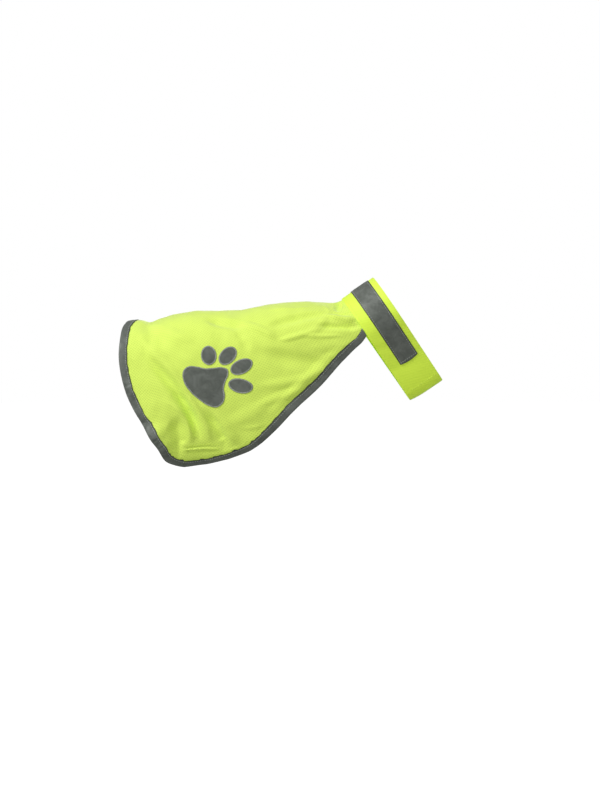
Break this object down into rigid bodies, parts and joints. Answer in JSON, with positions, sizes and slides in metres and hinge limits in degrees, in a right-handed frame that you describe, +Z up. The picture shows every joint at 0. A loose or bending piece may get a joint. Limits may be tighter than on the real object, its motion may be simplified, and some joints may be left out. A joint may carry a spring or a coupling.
{
  "type": "reflective dog coat",
  "caption": "Bright yellow mesh dog coat in its worn form, with a bound back panel, a reflective collar band, a paw applique and belly straps.",
  "frame": {"origin": "where the coat rests on the wearer's back: the inner face of the back panel on the centre-back line", "axes": "+X towards the wearer's head, -Y towards the wearer's right side, +Z up"},
  "size_m": [0.3918, 0.1208, 0.2294],
  "materials": {
    "mesh_knit": "fluorescent yellow birdseye mesh knit, matt",
    "webbing": "fluorescent yellow woven band, soft sheen",
    "reflective_tape": "grey retroreflective tape, satin",
    "hook_and_loop": "yellow hook and loop tape, matt pile"
  },
  "bodies": {
    "root": {"back_panel": "mesh_knit", "edge_binding": "reflective_tape", "collar_band": "webbing", "collar_reflector": "reflective_tape", "collar_hook_tape": "hook_and_loop", "collar_loop_tape": "hook_and_loop", "paw_pad": "reflective_tape", "paw_toe_1": "reflective_tape", "paw_toe_2": "reflective_tape", "paw_toe_3": "reflective_tape", "paw_toe_4": "reflective_tape", "belly_strap_right": "webbing", "belly_strap_left": "webbing", "belly_hook_tape": "hook_and_loop", "belly_loop_tape": "hook_and_loop"}
  },
  "joints": []
}
